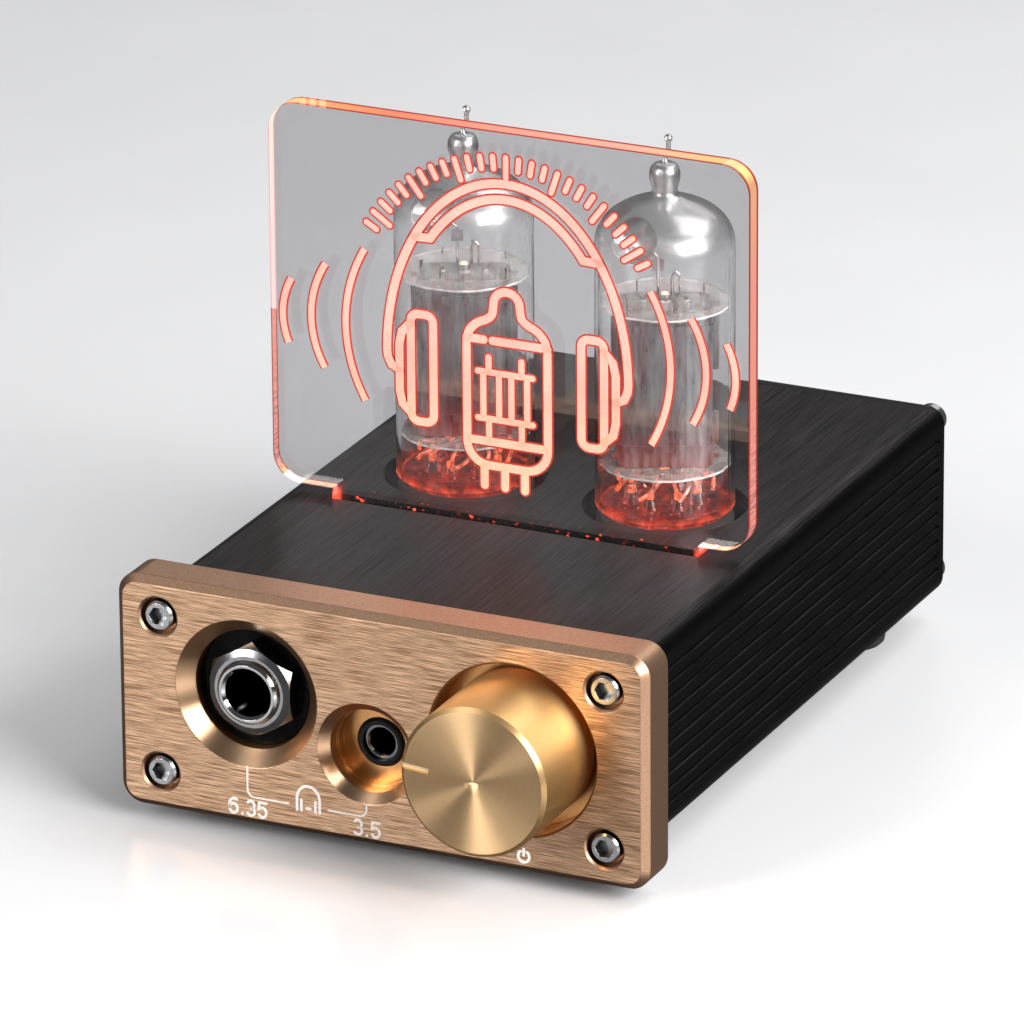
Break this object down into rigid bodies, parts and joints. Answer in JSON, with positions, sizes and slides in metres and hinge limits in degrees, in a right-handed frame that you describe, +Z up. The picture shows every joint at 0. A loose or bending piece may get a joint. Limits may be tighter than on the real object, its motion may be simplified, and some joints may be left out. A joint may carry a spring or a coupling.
{
  "type": "headphone amplifier",
  "caption": "Desktop valve headphone amplifier: ridged case, thick front panel with phone jacks and volume knob, edge-lit clear plate and small glass valves on top.",
  "frame": {"origin": "middle of the whole object's footprint, from the knob's face to the phono sockets' ends, on the plane the feet stand on", "axes": "+Z up; the front panel faces -Y, and +Y runs to the rear sockets, along the longest side; +X is to the right of someone facing the front, across the shortest side"},
  "size_m": [0.0764, 0.1288, 0.0873],
  "materials": {
    "case_black": "black anodised, fine lengthwise brushing",
    "panel_champagne": "champagne anodised, brushed along its width",
    "knob_gold": "gold anodised, turned",
    "screw_steel": "bright zinc",
    "foot_rubber": "matt",
    "board_laminate": "solder mask, satin",
    "black_plastic": "moulded, semi-gloss",
    "bright_metal": "polished nickel plate",
    "brass": "turned",
    "contact_metal": "tinned spring metal",
    "clear_acrylic": "polished clear sheet with engraved, edge-lit lines",
    "clear_glass": "clear blown glass",
    "socket_black": "moulded, matt",
    "mica": "split mica sheet",
    "anode_grey": "carbonised nickel, dull grey",
    "grid_metal": "drawn wire",
    "cathode_nickel": "nickel",
    "heater_glow": "glowing orange",
    "getter_silver": "bright sheet",
    "lamp_red": "clear red lens, lit",
    "capacitor_sleeve": "shrink sleeve",
    "film_capacitor_red": "moulded box",
    "phono_insert": "moulded"
  },
  "bodies": {
    "chassis": {"case_sleeve": "case_black", "front_panel": "panel_champagne", "rear_panel": "case_black", "front_screws": "screw_steel", "rear_screws": "screw_steel", "rubber_feet": "foot_rubber", "main_board": "board_laminate", "valve_board": "board_laminate", "board_spacers": "brass", "header_housing": "black_plastic", "header_pins": "contact_metal", "valve_lamps": "lamp_red", "slot_lamps": "lamp_red", "pot_body": "black_plastic", "pot_bushing": "brass", "pot_nut": "bright_metal", "pot_terminals": "contact_metal", "big_jack_body": "black_plastic", "big_jack_bushing": "bright_metal", "big_jack_washer": "black_plastic", "big_jack_nut": "bright_metal", "big_jack_contacts": "contact_metal", "small_jack_body": "black_plastic", "small_jack_sleeve": "bright_metal", "small_jack_contact": "contact_metal", "phono_housing": "black_plastic", "phono_shells": "bright_metal", "phono_insulators": "phono_insert", "phono_centres": "brass", "power_inlet": "black_plastic", "power_pin": "bright_metal", "electrolytic_capacitors": "capacitor_sleeve", "film_capacitors": "film_capacitor_red", "amplifier_chips": "black_plastic", "left_socket": "socket_black", "left_socket_contacts": "contact_metal", "right_socket": "socket_black", "right_socket_contacts": "contact_metal"},
    "knob": {"volume_knob": "knob_gold", "knob_set_screw": "screw_steel", "pot_shaft": "bright_metal"},
    "left_valve": {"left_valve_bulb": "clear_glass", "left_valve_button": "clear_glass", "left_valve_pins": "contact_metal", "left_valve_micas": "mica", "left_valve_anode": "anode_grey", "left_valve_grid": "grid_metal", "left_valve_cathode": "cathode_nickel", "left_valve_heater": "heater_glow", "left_valve_getter": "getter_silver"},
    "right_valve": {"right_valve_bulb": "clear_glass", "right_valve_button": "clear_glass", "right_valve_pins": "contact_metal", "right_valve_micas": "mica", "right_valve_anode": "anode_grey", "right_valve_grid": "grid_metal", "right_valve_cathode": "cathode_nickel", "right_valve_heater": "heater_glow", "right_valve_getter": "getter_silver"},
    "plate": {"light_plate": "clear_acrylic"}
  },
  "joints": [
    {"name": "volume_turn", "type": "hinge", "parent": "chassis", "child": "knob", "pos_m": [0.019, -0.0524, 0.019], "axis": [0, 1, 0], "range_deg": [-65, 235]},
    {"name": "left_valve_lift", "type": "slide", "parent": "chassis", "child": "left_valve", "axis": [0, 0, 1], "range_m": [0, 0.02]},
    {"name": "right_valve_lift", "type": "slide", "parent": "chassis", "child": "right_valve", "axis": [0, 0, 1], "range_m": [0, 0.02]},
    {"name": "plate_lift", "type": "slide", "parent": "chassis", "child": "plate", "axis": [0, 0, 1], "range_m": [0, 0.02]}
  ]
}
